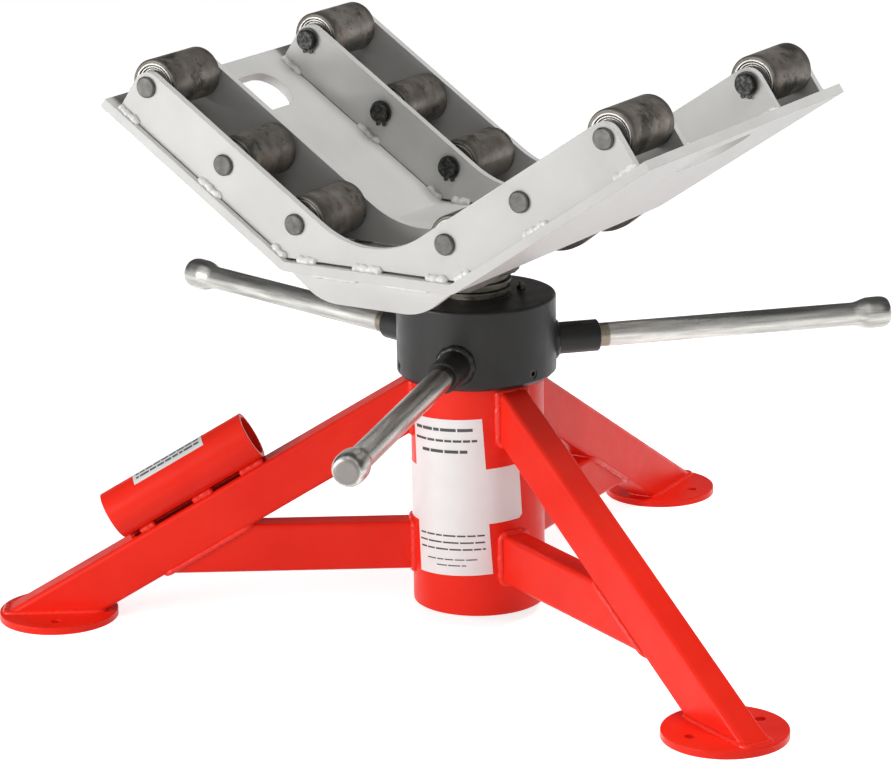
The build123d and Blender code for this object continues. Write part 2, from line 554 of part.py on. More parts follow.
# Pins, bushings and clips. Pins go in from the outer side of their channel, so heads are outside
pin_places = [wing_point(station, height) for station, height in PIN_PLACES.values()]
clip_y = CHANNEL_INNER_Y - CLIP_STANDOFF
for channel, channel_side in CHANNELS.items():
    for wing, side in SIDES.items():
        spots = [(side * x, z) for x, z in pin_places]
        with BuildPart() as axle_pins:
            with BuildSketch(Plane.XZ.offset(-channel_side * (CHANNEL_OUTER_Y + PIN_HEAD_OUT))):
                with Locations(*spots):
                    Circle(PIN_R)
            pin_length = CHANNEL_OUTER_Y + PIN_HEAD_OUT - CHANNEL_INNER_Y + PIN_TAIL_OUT
            extrude(amount=channel_side * pin_length)
            chamfer(axle_pins.edges().filter_by(GeomType.CIRCLE), PIN_EDGE)
            with BuildSketch(Plane.XZ.offset(-channel_side * clip_y)):
                with Locations(*spots):
                    Circle(PIN_R)
                    Circle(PIN_R - CLIP_GROOVE_DEPTH, mode=Mode.SUBTRACT)
            extrude(amount=channel_side * CLIP_THICKNESS, mode=Mode.SUBTRACT)
        write(axle_pins, f"axle_pins_{channel}_{wing}")

        with BuildPart() as bushings:
            with BuildSketch(Plane.XZ.offset(-channel_side * CHANNEL_MID_Y)):
                with Locations(*spots):
                    Circle(BUSHING_R)
                    Circle(PIN_R + SEAT_CLEARANCE, mode=Mode.SUBTRACT)
            extrude(amount=CHANNEL_GAP / 2 - SEAT_CLEARANCE, both=True)
        write(bushings, f"roller_bushings_{channel}_{wing}")

# Retaining clips: open rings in the grooves of the pins, with an ear on either side of the opening
with BuildPart() as retaining_clips:
    for channel_side in CHANNELS.values():
        with BuildSketch(Plane.XZ.offset(-channel_side * clip_y)):
            with Locations(*[(side * x, z) for x, z in pin_places for side in SIDES.values()]):
                Circle(CLIP_R)
                with Locations((-CLIP_GAP / 2 - CLIP_EAR_R, -CLIP_R), (CLIP_GAP / 2 + CLIP_EAR_R, -CLIP_R)):
                    Circle(CLIP_EAR_R)
                with Locations((0, -CLIP_R)):
                    Rectangle(CLIP_GAP, CLIP_R, mode=Mode.SUBTRACT)
                Circle(PIN_R - CLIP_GROOVE_DEPTH + SEAT_CLEARANCE, mode=Mode.SUBTRACT)
        extrude(amount=channel_side * CLIP_THICKNESS)
write(retaining_clips, "retaining_clips")

# Rollers: each turns on its own bushing, with a shallow recess in both ends
for channel, channel_side in CHANNELS.items():
    for wing, side in SIDES.items():
        for seat, (station, height) in PIN_PLACES.items():
            pin_x, pin_z = wing_point(station, height)
            roller_plane = Plane(origin=(side * pin_x, channel_side * CHANNEL_MID_Y, pin_z),
                                 x_dir=(1, 0, 0), z_dir=(0, -1, 0))
            with BuildPart() as roller:
                with BuildSketch(roller_plane):
                    Circle(ROLLER_R)
                    Circle(BUSHING_R + RUNNING_CLEARANCE, mode=Mode.SUBTRACT)
                extrude(amount=ROLLER_LENGTH / 2, both=True)
                rims = roller.edges().filter_by(GeomType.CIRCLE).group_by(SortBy.RADIUS)[-1]
                fillet(rims, ROLLER_EDGE_R)
                for end in (-1, 1):
                    with BuildSketch(roller_plane.offset(end * ROLLER_LENGTH / 2)):
                        Circle(ROLLER_RECESS_R)
                    extrude(amount=-end * ROLLER_RECESS_DEPTH, mode=Mode.SUBTRACT)
            write(roller, f"roller_{channel}_{wing}_{seat}")
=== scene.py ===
import bmesh
import bpy
import json
import math
import random
from mathutils import Matrix, Vector


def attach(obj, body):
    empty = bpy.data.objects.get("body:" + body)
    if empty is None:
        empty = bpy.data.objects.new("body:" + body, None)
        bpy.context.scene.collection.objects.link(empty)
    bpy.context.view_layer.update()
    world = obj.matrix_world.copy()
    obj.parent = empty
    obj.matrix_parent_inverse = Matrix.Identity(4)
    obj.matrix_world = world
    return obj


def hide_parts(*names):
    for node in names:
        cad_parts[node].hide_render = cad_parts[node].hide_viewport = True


# Looks of the roller-head pipe stand. Metres, +Z up, floor at Z = 0, screw axis on the Z axis.
# X runs across the V of the saddle, Y along the pipe.

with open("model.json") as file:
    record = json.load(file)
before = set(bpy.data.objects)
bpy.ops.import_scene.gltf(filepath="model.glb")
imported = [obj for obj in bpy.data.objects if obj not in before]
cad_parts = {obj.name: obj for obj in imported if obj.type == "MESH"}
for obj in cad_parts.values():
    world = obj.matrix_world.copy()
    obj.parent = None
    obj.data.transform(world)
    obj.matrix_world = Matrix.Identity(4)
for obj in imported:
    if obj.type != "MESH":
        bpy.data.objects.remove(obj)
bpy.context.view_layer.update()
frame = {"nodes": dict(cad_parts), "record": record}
nodes = frame["nodes"]

MM = 0.001

# Photograph frame and the camera that matches it
PHOTO_WIDTH = 894
CAMERA_AZIMUTH = math.radians(31.82)
CAMERA_ELEVATION = math.radians(16.02)
CAMERA_ROLL = math.radians(-0.86)
CAMERA_DISTANCE = 3.814
CAMERA_FOCAL_PIXELS = 3600.4
TARGET_ASIDE = -0.0317
TARGET_HEIGHT = 0.2499
SENSOR_WIDTH = 36.0

# Driving sizes shared with the solids
TUBE_R = 70.65 * MM
COLLAR_R = 84.35 * MM
HANDLE_Z = 292.2 * MM
HANDLE_AZIMUTHS = {"right": 45.8, "left": 165.8, "front": 285.8}
BOSS_R = 17.0 * MM
BOSS_END_R = 133.0 * MM
HANDLE_END_R = 462.0 * MM
LEG_AZIMUTHS = {"right": -27.0, "rear": 93.0, "left": 213.0}
LEG_SLOPE = math.radians(30.0)
LEG_TOP_Z = 261.0 * MM
LEG_DEPTH = 52.0 * MM
LEG_WIDTH = 33.0 * MM
BRACE_BOTTOM_Z = 48.5 * MM
BRACE_HEIGHT = 53.0 * MM
BRACE_WIDTH = 30.0 * MM
FOOT_THICKNESS = 8.0 * MM
SOCKET_R = 26.5 * MM
RAIL_HEIGHT = 3.5 * MM
SCREW_R = 37.5 * MM
SCREW_BOTTOM_Z = 75.0 * MM
THREAD_PITCH = 8.0 * MM
BLOCK_HALF = 42.0 * MM
FLANGE_BOTTOM_Z = 374.0 * MM
SADDLE_Z = 417.0 * MM
SADDLE_THICKNESS = 10.0 * MM
SADDLE_FLAT_HALF = 98.3 * MM
WING_ANGLE = math.radians(34.0)
CHANNEL_OUTER_Y = 203.0 * MM
CHANNEL_INNER_Y = 96.5 * MM
SIDE_PLATE_THICKNESS = 8.0 * MM
SIDE_PLATE_END = 247.5 * MM
PIN_PLACES = {"inner": (13.9 * MM, 37.2 * MM), "middle": (114.3 * MM, 32.7 * MM),
              "outer": (232.0 * MM, 40.0 * MM)}
ROLLER_LENGTH = 81.0 * MM
SIDES = {"left": -1, "right": 1}
CHANNELS = {"front": -1, "rear": 1}


def wing_point(station, height):
    """Place on the right wing's section, as (x, z): station from the bend, height above the wing."""
    x = SADDLE_FLAT_HALF + station * math.cos(WING_ANGLE) - height * math.sin(WING_ANGLE)
    z = SADDLE_Z + station * math.sin(WING_ANGLE) + height * math.cos(WING_ANGLE)
    return x, z


def radial(azimuth):
    """Unit vector outward from the screw axis."""
    return Vector((math.cos(math.radians(azimuth)), math.sin(math.radians(azimuth)), 0))


def sideways(azimuth):
    """Unit vector square to the outward one, level."""
    return Vector((-math.sin(math.radians(azimuth)), math.cos(math.radians(azimuth)), 0))


def leg_point(azimuth, along, above, aside=0.0):
    """Place by a leg: along its slope from the axis, above its top face, and to one side."""
    outward = radial(azimuth)
    up = Vector((0, 0, 1))
    down_slope = outward * math.cos(LEG_SLOPE) - up * math.sin(LEG_SLOPE)
    up_slope = outward * math.sin(LEG_SLOPE) + up * math.cos(LEG_SLOPE)
    top = up * (LEG_TOP_Z + TUBE_R * math.tan(LEG_SLOPE))
    return top + down_slope * along + up_slope * above + sideways(azimuth) * aside


# Materials

class Nodes:
    """A material's node tree with a short way to add linked nodes."""

    def __init__(self, name):
        self.material = bpy.data.materials.new(name)
        self.material.use_nodes = True
        self.tree = self.material.node_tree
        self.shader = self.tree.nodes["Principled BSDF"]
        self.place = self.add("ShaderNodeTexCoord").outputs["Object"]

    def add(self, kind, **settings):
        node = self.tree.nodes.new(kind)
        for key, value in settings.items():
            setattr(node, key, value)
        return node

    def link(self, source, target):
        self.tree.links.new(source, target)

    def set(self, **values):
        for key, value in values.items():
            self.shader.inputs[key.replace("_", " ")].default_value = value

    def turned(self, azimuth, stretch=(1, 1, 1)):
        """Coordinate in a frame with X outward at an azimuth, drawn out along its axes by stretch."""
        mapping = self.add("ShaderNodeMapping", vector_type="TEXTURE")
        mapping.inputs["Rotation"].default_value = (0, 0, math.radians(azimuth))
        mapping.inputs["Scale"].default_value = stretch
        self.link(self.place, mapping.inputs["Vector"])
        return mapping.outputs["Vector"]

    def noise(self, scale, detail=3.0, roughness=0.5, stretch=(1, 1, 1), azimuth=0.0):
        """Noise at a scale in features per metre, drawn out along the turned axes by stretch."""
        texture = self.add("ShaderNodeTexNoise")
        texture.inputs["Scale"].default_value = scale
        texture.inputs["Detail"].default_value = detail
        texture.inputs["Roughness"].default_value = roughness
        self.link(self.turned(azimuth, stretch), texture.inputs["Vector"])
        return texture.outputs["Fac"]

    def ramp(self, factor, *stops):
        """Colour ramp over (position, colour) stops."""
        node = self.add("ShaderNodeValToRGB")
        elements = node.color_ramp.elements
        while len(elements) < len(stops):
            elements.new(0.5)
        for element, (position, colour) in zip(elements, stops):
            element.position = position
            element.color = (*colour, 1)
        self.link(factor, node.inputs["Fac"])
        return node.outputs["Color"]

    def mix(self, factor, below, above, blend="MIX"):
        """Colour between two others, each a socket or a fixed colour."""
        node = self.add("ShaderNodeMixRGB", blend_type=blend)
        self.link(factor, node.inputs["Fac"])
        for name, colour in (("Color1", below), ("Color2", above)):
            if isinstance(colour, tuple):
                node.inputs[name].default_value = (*colour, 1)
            else:
                self.link(colour, node.inputs[name])
        return node.outputs["Color"]

    def spread(self, factor, low, high, start=0.3, end=0.7):
        """Maps a range of a factor, by default the middle of a noise, to a range of values."""
        node = self.add("ShaderNodeMapRange")
        node.inputs["From Min"].default_value = start
        node.inputs["From Max"].default_value = end
        node.inputs["To Min"].default_value = low
        node.inputs["To Max"].default_value = high
        self.link(factor, node.inputs["Value"])
        return node.outputs["Result"]

    def bump(self, *heights, edge=0.0):
        """Bumps from (height, depth in metres) pairs, over edges softened by a radius."""
        normal = None
        if edge:
            soft = self.add("ShaderNodeBevel", samples=6)
            soft.inputs["Radius"].default_value = edge
            normal = soft.outputs["Normal"]
        for height, depth in heights:
            node = self.add("ShaderNodeBump")
            node.inputs["Strength"].default_value = 1.0
            node.inputs["Distance"].default_value = depth
            self.link(height, node.inputs["Height"])
            if normal is not None:
                self.link(normal, node.inputs["Normal"])
            normal = node.outputs["Normal"]
        self.link(normal, self.shader.inputs["Normal"])


def paint(name, dark, light, roughness, gloss, edge, peel=0.00004):
    """Sprayed paint: slight colour drift, orange peel, softened edges."""
    n = Nodes(name)
    drift = n.noise(14, 4)
    n.link(n.ramp(drift, (0.3, dark), (0.7, light)), n.shader.inputs["Base Color"])
    n.link(n.spread(n.noise(60, 5), roughness - 0.05, roughness + 0.07), n.shader.inputs["Roughness"])
    n.bump((n.noise(420, 2), peel), (n.noise(45, 3), peel * 5), edge=edge)
    n.set(Specular_IOR_Level=gloss)
    return n.material


def steel(name, dark, light, roughness, stretch=(1, 1, 1), grain=0.00003, scale=60, metallic=1.0, edge=0.0003):
    """Bare or plated steel: mottled, with grain drawn out along one axis."""
    n = Nodes(name)
    mottle = n.noise(scale, 6, 0.65, stretch)
    n.link(n.ramp(mottle, (0.32, dark), (0.68, light)), n.shader.inputs["Base Color"])
    n.link(n.spread(n.noise(scale * 2, 5, 0.6, stretch), roughness - 0.08, roughness + 0.12),
           n.shader.inputs["Roughness"])
    n.bump((n.noise(900, 3, 0.6, stretch), grain), edge=edge)
    n.set(Metallic=metallic)
    return n.material


def handle_plating(name, azimuth):
    """Dull plated tube: streaks along its length, and a tarnished band next to the boss."""
    n = Nodes(name)
    streaks = n.noise(170, 5, 0.6, (14, 1, 1), azimuth)
    blotches = n.noise(45, 5, 0.6, (3, 1, 1), azimuth)
    plate = n.mix(n.spread(blotches, 0.0, 0.5), n.ramp(streaks, (0.34, (0.30, 0.295, 0.27)), (0.66, (0.74, 0.73, 0.70))),
                  (0.44, 0.435, 0.41))
    split = n.add("ShaderNodeSeparateXYZ")
    n.link(n.turned(azimuth), split.inputs["Vector"])
    band = n.spread(split.outputs["X"], 1.0, 0.0, BOSS_END_R + TARNISH_WIDTH, BOSS_END_R + TARNISH_WIDTH * 1.2)
    face = n.spread(split.outputs["X"], 0.0, 1.0, HANDLE_END_R - 1.5 * MM, HANDLE_END_R - 0.5 * MM)
    shaft = n.mix(band, plate, (0.24, 0.21, 0.16))
    n.link(n.mix(face, shaft, (0.22, 0.205, 0.19)), n.shader.inputs["Base Color"])
    n.link(n.spread(n.noise(110, 4, 0.6, (8, 1, 1), azimuth), 0.22, 0.40), n.shader.inputs["Roughness"])
    n.bump((n.noise(380, 3, 0.6, (25, 1, 1), azimuth), 0.00006), (n.noise(60, 2, 0.5, (6, 1, 1), azimuth), 0.0004),
           edge=0.0008)
    n.set(Metallic=1.0)
    return n.material


def off_channel(n):
    """Distance across from the middle line of the nearer channel."""
    split = n.add("ShaderNodeSeparateXYZ")
    n.link(n.place, split.inputs["Vector"])
    away = n.add("ShaderNodeMath", operation="ABSOLUTE")
    n.link(split.outputs["Y"], away.inputs[0])
    beyond = n.add("ShaderNodeMath", operation="SUBTRACT")
    n.link(away.outputs["Value"], beyond.inputs[0])
    beyond.inputs[1].default_value = (CHANNEL_OUTER_Y + CHANNEL_INNER_Y) / 2
    distance = n.add("ShaderNodeMath", operation="ABSOLUTE")
    n.link(beyond.outputs["Value"], distance.inputs[0])
    return distance.outputs["Value"]


def saddle_painted_light_finish(name):
    """The grey paint, with painted light making it paler underneath and painted shade darkening the floors of the
    channels.
    """
    n = Nodes(name)
    without_channel_shade = n.ramp(n.noise(14, 4), (0.3, (0.60, 0.595, 0.575)), (0.7, (0.67, 0.665, 0.645)))
    facing = n.add("ShaderNodeSeparateXYZ")
    n.link(n.add("ShaderNodeNewGeometry").outputs["True Normal"], facing.inputs["Vector"])
    upward = n.spread(facing.outputs["Z"], 0.0, 1.0, 0.66, 0.76)
    # Painted light: downward faces are mixed to a paler grey.
    underside_painted_light = n.spread(facing.outputs["Z"], 1.0, 0.0, -0.6, -0.4)
    without_channel_shade = n.mix(underside_painted_light, without_channel_shade, (0.71, 0.735, 0.715))
    # Painted shade: the up-facing floors of the channels, between the side plates, are darkened in patches.
    half = (CHANNEL_OUTER_Y - CHANNEL_INNER_Y) / 2
    inside = n.spread(off_channel(n), 1.0, 0.0, half - SIDE_PLATE_THICKNESS, half)
    channel_painted_shade = n.add("ShaderNodeMath", operation="MULTIPLY")
    n.link(upward, channel_painted_shade.inputs[0])
    n.link(inside, channel_painted_shade.inputs[1])
    patchy_channel_shade = n.add("ShaderNodeMath", operation="MULTIPLY")
    n.link(channel_painted_shade.outputs["Value"], patchy_channel_shade.inputs[0])
    n.link(n.spread(n.noise(40, 5, 0.6), 0.60, 0.92), patchy_channel_shade.inputs[1])
    n.link(n.mix(patchy_channel_shade.outputs["Value"], without_channel_shade, (0.060, 0.055, 0.048)), n.shader.inputs["Base Color"])
    n.link(n.spread(n.noise(60, 5), 0.37, 0.49), n.shader.inputs["Roughness"])
    n.bump((n.noise(420, 2), 0.00004), (n.noise(45, 3), 0.0002), edge=0.0008)
    n.set(Specular_IOR_Level=0.35)
    return n.material


def keel_painted_shade_finish(name):
    """The front keel gussets in grey paint, and the ones behind them given a dark brown-grey as painted shade."""
    n = Nodes(name)
    drift = n.noise(14, 4)
    painted = n.ramp(drift, (0.3, (0.60, 0.595, 0.575)), (0.7, (0.67, 0.665, 0.645)))
    # Painted shade: dark mottled colour for the gussets behind the front channel's middle line.
    shade_dark = n.ramp(n.noise(70, 6, 0.65), (0.32, (0.14, 0.136, 0.124)), (0.68, (0.21, 0.205, 0.19)))
    split = n.add("ShaderNodeSeparateXYZ")
    n.link(n.place, split.inputs["Vector"])
    middle = (CHANNEL_OUTER_Y + CHANNEL_INNER_Y) / 2
    shaded_behind = n.spread(split.outputs["Y"], 0.0, 1.0, -middle - MM, -middle + MM)
    n.link(n.mix(shaded_behind, painted, shade_dark), n.shader.inputs["Base Color"])
    n.link(n.spread(n.noise(60, 5), 0.37, 0.49), n.shader.inputs["Roughness"])
    n.bump((n.noise(420, 2), 0.00004), (n.noise(45, 3), 0.0002), edge=0.0008)
    n.set(Specular_IOR_Level=0.35)
    return n.material


# Width of the painted shade at either end of a roller.
RIM_SHADE_WIDTH = 0.012


def roller_finish(name):
    """Oiled roller steel: brownish grey with soft rusty and dark patches, finely turned, with painted shade darkening
    both ends next to the side plates.
    """
    n = Nodes(name)
    base = n.ramp(n.noise(30, 6, 0.6), (0.30, (0.110, 0.099, 0.084)), (0.5, (0.240, 0.217, 0.188)),
                  (0.70, (0.390, 0.360, 0.318)))
    rust = n.spread(n.noise(42, 5, 0.6), 0.0, 0.7, 0.56, 0.70)
    worn = n.mix(rust, base, (0.235, 0.155, 0.118))
    oily = n.mix(n.spread(n.noise(26, 6, 0.7), 0.0, 0.85, 0.53, 0.62), worn, (0.042, 0.038, 0.033))
    specks = n.mix(n.spread(n.noise(210, 3, 0.6), 0.0, 0.8, 0.66, 0.72), oily, (0.035, 0.031, 0.027))
    # Painted shade: the last stretch at either end of the roller is darkened.
    shaded_rims = n.mix(n.spread(off_channel(n), 0.0, 0.7, ROLLER_LENGTH / 2 - RIM_SHADE_WIDTH, ROLLER_LENGTH / 2), specks,
                 (0.05, 0.046, 0.04))
    n.link(shaded_rims, n.shader.inputs["Base Color"])
    n.link(n.spread(n.noise(70, 4, 0.6), 0.34, 0.52), n.shader.inputs["Roughness"])
    n.bump((n.noise(700, 3, 0.6, (6, 1, 6)), 0.00004), (n.noise(50, 3), 0.0002), edge=0.0010)
    n.set(Metallic=0.6)
    return n.material


def pin_finish(name):
    """Roller pins: dull steel heads, and blackened tails on the middle side of each channel."""
    n = Nodes(name)
    head = n.ramp(n.noise(140, 5, 0.6), (0.32, (0.055, 0.053, 0.050)), (0.68, (0.13, 0.126, 0.118)))
    tail = n.ramp(n.noise(260, 4, 0.7), (0.45, (0.010, 0.010, 0.010)), (0.72, (0.11, 0.11, 0.105)))
    split = n.add("ShaderNodeSeparateXYZ")
    n.link(n.place, split.inputs["Vector"])
    away = n.add("ShaderNodeMath", operation="ABSOLUTE")
    n.link(split.outputs["Y"], away.inputs[0])
    middle = (CHANNEL_OUTER_Y + CHANNEL_INNER_Y) / 2
    outer = n.spread(away.outputs["Value"], 0.0, 1.0, middle - MM, middle + MM)
    n.link(n.mix(outer, tail, head), n.shader.inputs["Base Color"])
    n.link(n.spread(n.noise(90, 4), 0.32, 0.46), n.shader.inputs["Roughness"])
    n.bump((n.noise(300, 3), 0.00010), edge=0.0006)
    n.set(Metallic=0.6)
    return n.material


def label_sheet(name, dark, light):
    """Glossy label paper."""
    n = Nodes(name)
    n.link(n.ramp(n.noise(30, 3), (0.3, dark), (0.7, light)), n.shader.inputs["Base Color"])
    n.link(n.spread(n.noise(80, 3), 0.3, 0.4), n.shader.inputs["Roughness"])
    n.bump((n.noise(200, 2), 0.00002))
    return n.material


TARNISH_WIDTH = 0.010

red_paint = paint("red_paint", (0.88, 0.019, 0.007), (0.95, 0.027, 0.011), 0.36, 0.20, 0.0012)
grey_paint = paint("grey_paint", (0.60, 0.595, 0.575), (0.67, 0.665, 0.645), 0.42, 0.35, 0.0008)
black_finish = paint("black_finish", (0.016, 0.016, 0.015), (0.024, 0.024, 0.023), 0.38, 0.30, 0.0008)
boss_black = paint("boss_black", (0.008, 0.008, 0.0075), (0.016, 0.016, 0.015), 0.34, 0.35, 0.0008)
bright_steel = steel("bright_steel", (0.50, 0.49, 0.46), (0.78, 0.77, 0.74), 0.30, scale=40)
dark_steel = steel("dark_steel", (0.035, 0.035, 0.033), (0.075, 0.073, 0.070), 0.45, metallic=0.6)
pin_steel = pin_finish("pin_steel")
bearing_steel = steel("bearing_steel", (0.28, 0.27, 0.25), (0.48, 0.47, 0.44), 0.36)
groove_shade_steel = steel("groove_shade_steel", (0.06, 0.058, 0.055), (0.13, 0.125, 0.12), 0.45, metallic=0.8)
roller_steel = roller_finish("roller_steel")
screw_steel = steel("screw_steel", (0.085, 0.080, 0.065), (0.200, 0.190, 0.158), 0.42, scale=90)
# Dark brown-grey steel for the socket block and the bead round the screw.
dark_brown_steel = steel("dark_brown_steel", (0.105, 0.098, 0.085), (0.175, 0.166, 0.148), 0.5, scale=70, metallic=0.3)
cast_metal = steel("cast_metal", (0.06, 0.06, 0.06), (0.11, 0.11, 0.11), 0.6, metallic=0.6)
bronze = steel("bronze", (0.40, 0.26, 0.10), (0.58, 0.40, 0.18), 0.36)
label_white = label_sheet("label_white", (0.86, 0.86, 0.855), (0.91, 0.91, 0.90))
label_worn = label_sheet("label_worn", (0.74, 0.74, 0.73), (0.80, 0.80, 0.79))
weld_red = paint("weld_red", (0.88, 0.021, 0.009), (0.95, 0.030, 0.013), 0.30, 0.40, 0.0, 0.00008)
# Painted highlight: the grey weld beads are coloured paler than the plate paint they are painted with.
weld_grey_painted_highlight = paint("weld_grey_painted_highlight", (0.72, 0.715, 0.70), (0.86, 0.855, 0.84), 0.26, 0.6, 0.0, 0.00010)
# Painted shadow for the seams between the side plates and the saddle.
seam_shadow = paint("seam_shadow", (0.10, 0.10, 0.096), (0.16, 0.16, 0.154), 0.7, 0.0, 0.0)
# Painted shadow for the gap between the socket tube and the leg.
gap_shadow_red = paint("gap_shadow_red", (0.080, 0.004, 0.003), (0.120, 0.006, 0.004), 0.7, 0.0, 0.0)
label_ink = paint("label_ink", (0.10, 0.10, 0.10), (0.14, 0.14, 0.14), 0.5, 0.0, 0.0)

FINISHES = {"red_paint": red_paint, "grey_paint": grey_paint, "black_finish": black_finish,
            "bright_steel": bright_steel, "dark_steel": dark_steel, "bearing_steel": bearing_steel,
            "roller_steel": roller_steel, "screw_steel": screw_steel, "cast_metal": cast_metal,
            "bronze": bronze}

for part in frame["record"]["subparts"]:
    mesh = nodes[part["node"]].data
    mesh.materials.clear()
    mesh.materials.append(FINISHES[part["material_slot"]])

for place, azimuth in HANDLE_AZIMUTHS.items():
    nodes[f"handle_{place}"].data.materials[0] = handle_plating(f"handle_plating_{place}", azimuth)
for name, node in nodes.items():
    if name.startswith("axle_pins"):
        node.data.materials[0] = pin_steel
nodes["handle_bosses"].data.materials[0] = boss_black
nodes["grease_fitting"].data.materials[0] = screw_steel
nodes["socket_block"].data.materials[0] = dark_brown_steel
nodes["saddle_plate"].data.materials[0] = saddle_painted_light_finish("saddle_paint_and_painted_light")
keel_paint_and_shade = keel_painted_shade_finish("keel_paint_and_shade")
for name in ("keel_gussets_inner", "keel_gussets_outer"):
    nodes[name].data.materials[0] = keel_paint_and_shade


# Mesh helpers

def add_piece(name, vertices, faces, material, body, smooth=True):
    """Mesh object that rides on a body, with the given material."""
    mesh = bpy.data.meshes.new(name)
    mesh.from_pydata(vertices, [], faces)
    mesh.polygons.foreach_set("use_smooth", [smooth] * len(mesh.polygons))
    mesh.materials.append(material)
    mesh.update()
    piece = bpy.data.objects.new(name, mesh)
    bpy.context.scene.collection.objects.link(piece)
    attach(piece, body)
    return piece


def grid_faces(columns, rows, closed_columns=False, closed_rows=False, start=0):
    """Quads over a grid of vertices stored column by column."""
    faces = []
    for i in range(columns if closed_columns else columns - 1):
        for j in range(rows if closed_rows else rows - 1):
            a = start + i * rows + j
            b = start + i * rows + (j + 1) % rows
            c = start + (i + 1) % columns * rows + (j + 1) % rows
            d = start + (i + 1) % columns * rows + j
            faces.append((a, d, c, b))
    return faces


def resample(path, step, closed):
    """Points at even steps along a path of straight runs, and the distance of each one from the start."""
    points = list(path) + [path[0]] if closed else list(path)
    lengths = [(b - a).length for a, b in zip(points, points[1:])]
    total = sum(lengths)
    count = max(4, round(total / step))
    spots = []
    run = 0
    passed = 0.0
    for i in range(count if closed else count + 1):
        distance = total * i / count
        while run < len(lengths) - 1 and distance > passed + lengths[run]:
            passed += lengths[run]
            run += 1
        share = (distance - passed) / max(lengths[run], 1e-9)
        spots.append((points[run].lerp(points[run + 1], min(share, 1.0)), distance))
    return spots, total


def bead_mesh(path, radius, closed, chance, lumps):
    """Vertices and faces of a weld bead along a path: a round ridge with ripples, lumps and a little waver."""
    spots, total = resample(path, BEAD_STEP, closed)
    phases = [chance.uniform(0, 2 * math.pi) for _ in range(4)]
    vertices = []
    count = len(spots)
    side = None
    for i, (place, distance) in enumerate(spots):
        after = spots[(i + 1) % count][0] if closed or i < count - 1 else place
        before = spots[i - 1][0] if closed or i > 0 else place
        along = (after - before).normalized()
        if side is None:
            side = along.orthogonal()
        side = (side - along * side.dot(along)).normalized()
        other = along.cross(side)
        turns = distance * 2 * math.pi
        size = radius * (1 + lumps * 0.3 * math.sin(turns / BEAD_RIPPLE)
                         + lumps * math.sin(turns / BEAD_LUMP + phases[0])
                         + 0.06 * math.sin(turns / BEAD_WAVER + phases[1]))
        place = place + side * radius * lumps * math.sin(turns / BEAD_SWAY + phases[2])
        if not closed:
            from_end = min(distance, total - distance) / radius
            size *= math.sqrt(max(1 - (1 - min(from_end, 1)) ** 2, 0.01))
        for j in range(BEAD_SIDES):
            turn = 2 * math.pi * j / BEAD_SIDES
            vertices.append(place + (side * math.cos(turn) + other * math.sin(turn)) * size)
    faces = grid_faces(count, BEAD_SIDES, closed_columns=closed, closed_rows=True)
    return vertices, faces


def weld(name, paths, radius, material, body, closed=False, seed=1, lumps=0.045):
    """One piece with a bead along each path."""
    chance = random.Random(seed)
    vertices = []
    faces = []
    for path in paths:
        more_vertices, more_faces = bead_mesh(path, radius, closed, chance, lumps)
        start = len(vertices)
        vertices += more_vertices
        faces += [tuple(start + corner for corner in face) for face in more_faces]
    return add_piece(name, vertices, faces, material, body)


def rounded_rectangle(width, height, corner, steps=4):
    """Outline of a rectangle with rounded corners round (0, 0), as (across, up) pairs."""
    outline = []
    for x_side, y_side, start in ((1, 1, 0), (-1, 1, 90), (-1, -1, 180), (1, -1, 270)):
        for i in range(steps + 1):
            turn = math.radians(start + 90 * i / steps)
            outline.append((x_side * (width / 2 - corner) + corner * math.cos(turn),
                            y_side * (height / 2 - corner) + corner * math.sin(turn)))
    return outline


def lathe_mesh(profile, centre, axis, segments):
    """Vertices and faces of a (radius, distance along the axis) profile turned about an axis."""
    side = axis.orthogonal().normalized()
    other = axis.cross(side)
    vertices = []
    for i in range(segments):
        turn = 2 * math.pi * i / segments
        outward = side * math.cos(turn) + other * math.sin(turn)
        vertices += [centre + outward * radius + axis * along for radius, along in profile]
    return vertices, grid_faces(segments, len(profile), closed_columns=True)


# Weld beads

BEAD_STEP = 0.0009
BEAD_SIDES = 10
BEAD_RIPPLE = 0.0031
BEAD_LUMP = 0.0094
BEAD_WAVER = 0.037
BEAD_SWAY = 0.0163
LEG_BEAD_R = 0.0046
FOOT_BEAD_R = 0.0034
BRACE_BEAD_R = 0.0032
BOSS_BEAD_R = 0.0050
STITCH_R = 0.0046
SOCKET_STITCH_R = 0.0042
BLOCK_BEAD_R = 0.0042
SEAM_LINE_R = 0.0006
LEG_CORNER_R = 0.005
SLOPE_TAN = math.tan(LEG_SLOPE)
SLOPE_SIN = math.sin(LEG_SLOPE)
SLOPE_COS = math.cos(LEG_SLOPE)
COLLAR_CLEAR_Z = 0.2625
TOP_AT_AXIS = LEG_TOP_Z + TUBE_R * SLOPE_TAN


def on_tube(azimuth, radius, across, z):
    """Point on an upright cylinder, a distance across from an azimuth's plane."""
    return radial(azimuth) * math.sqrt(radius ** 2 - across ** 2) + sideways(azimuth) * across + Vector((0, 0, z))


